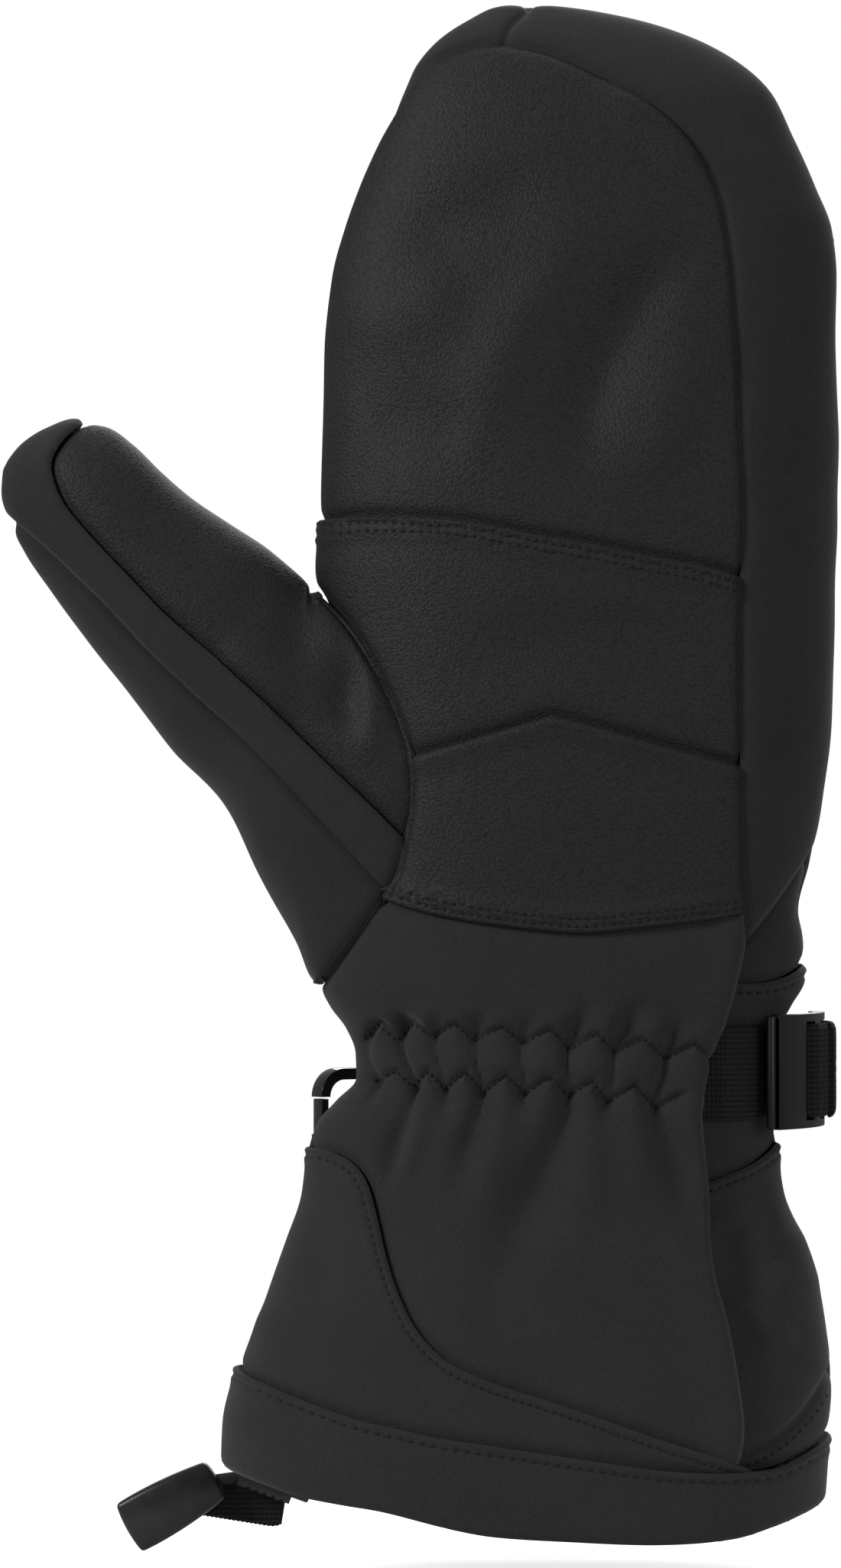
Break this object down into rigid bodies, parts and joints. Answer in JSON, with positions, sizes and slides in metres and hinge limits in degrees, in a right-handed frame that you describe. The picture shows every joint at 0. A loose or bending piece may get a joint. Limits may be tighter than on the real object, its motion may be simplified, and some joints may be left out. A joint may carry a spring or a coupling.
{
  "type": "ski mitten",
  "caption": "Insulated gauntlet ski mitten for the left hand, with a separate jointed thumb, a wrist strap and buckle, a glove clip and a hem cord lock.",
  "frame": {"origin": "centre of the hand opening at the hem, where the hand goes in", "axes": "+Z from the opening to the finger tips, -Y out of the palm, +Y out of the back of the hand, -X towards the thumb"},
  "size_m": [0.1756, 0.0811, 0.3303],
  "materials": {
    "buckle_plastic": "moulded, satin",
    "clip_plastic": "moulded, glossy",
    "cord": "braided elastic cord",
    "edge_patch": "coarse knitted stretch panel",
    "elastic": "knitted elastic",
    "eyelet_metal": "black coated",
    "fleece": "brushed fleece",
    "grip_rubber": "moulded, satin gloss",
    "hem_softshell": "matt woven softshell, doubled",
    "insulation": "fibre wadding",
    "lock_plastic": "moulded, ribbed",
    "membrane": "smooth waterproof film on knit",
    "softshell": "matt woven stretch softshell",
    "spring_steel": "wire",
    "synthetic_leather": "fine grained, semi-matt",
    "webbing": "coarse woven tape"
  },
  "bodies": {
    "mitten": {"back_shell": "softshell", "back_tip_leather": "synthetic_leather", "buckle_anchor_tape": "webbing", "clip_tape": "webbing", "cord_lock_barrel": "lock_plastic", "cord_lock_spring": "spring_steel", "cord_tab": "webbing", "drawcord": "cord", "gauntlet_back": "softshell", "gauntlet_thumb_side": "softshell", "hem_band": "hem_softshell", "hem_eyelet": "eyelet_metal", "index_edge_patch": "edge_patch", "insulation_back": "insulation", "insulation_palm": "insulation", "lining_hand": "fleece", "little_finger_gauntlet": "softshell", "little_finger_wrist": "softshell", "membrane_insert": "membrane", "palm_heel": "synthetic_leather", "palm_middle": "synthetic_leather", "palm_upper": "synthetic_leather", "side_gusset": "softshell", "thumb_root_fill": "insulation", "thumb_root_lining": "fleece", "thumb_root_membrane": "membrane", "thumb_root_shell": "synthetic_leather", "tip_gusset": "synthetic_leather", "wrist_elastic": "elastic", "wrist_front": "softshell", "wrist_gusset": "softshell", "wrist_webbing": "webbing"},
    "thumb": {"thumb_leather": "synthetic_leather", "thumb_side_strip": "softshell", "thumb_back": "softshell", "thumb_insulation": "insulation", "thumb_membrane": "membrane", "thumb_lining": "fleece"},
    "buckle": {"ladder_lock_buckle": "buckle_plastic", "strap_threaded": "webbing"},
    "tail": {"strap_tail": "webbing"},
    "clip": {"clip_frame": "clip_plastic"},
    "gate": {"clip_gate": "clip_plastic"},
    "button": {"cord_lock_button": "lock_plastic"},
    "grip": {"cord_end_grip": "grip_rubber"}
  },
  "joints": [
    {"name": "thumb_swing", "type": "hinge", "parent": "mitten", "child": "thumb", "pos_m": [-0.04, 0, 0.16], "axis": [0, 0, 1], "range_deg": [-10, 40]},
    {"name": "buckle_tilt", "type": "hinge", "parent": "mitten", "child": "buckle", "pos_m": [0.06123, 0.01166, 0.0925], "axis": [0, 0, 1], "range_deg": [0, 35]},
    {"name": "strap_tail_swing", "type": "hinge", "parent": "buckle", "child": "tail", "pos_m": [0.06385, 0.00191, 0.0925], "axis": [0, 0, 1], "range_deg": [-35, 0]},
    {"name": "clip_swing", "type": "hinge", "parent": "mitten", "child": "clip", "pos_m": [-0.02828, 0.03053, 0.082], "axis": [0, 0, -1], "range_deg": [0, 90]},
    {"name": "clip_gate_open", "type": "hinge", "parent": "clip", "child": "gate", "pos_m": [-0.04341, 0.01871, 0.0764], "axis": [-0.6157, 0.788, 0], "range_deg": [0, 18], "stiffness_Nm_per_rad": 0.02, "springref_deg": -17.19},
    {"name": "lock_button_press", "type": "slide", "parent": "mitten", "child": "button", "axis": [-0.9397, 0, 0.342], "range_m": [0, 0.0025], "stiffness_N_per_m": 1500, "springref_m": -0.0015},
    {"name": "grip_swing", "type": "hinge", "parent": "mitten", "child": "grip", "pos_m": [-0.0674, 0.0316, 0.0026], "axis": [0, 1, 0], "range_deg": [-60, 30]}
  ],
  "couplings": [
    {"joint": "strap_tail_swing", "follows": "buckle_tilt", "ratio": -1}
  ]
}
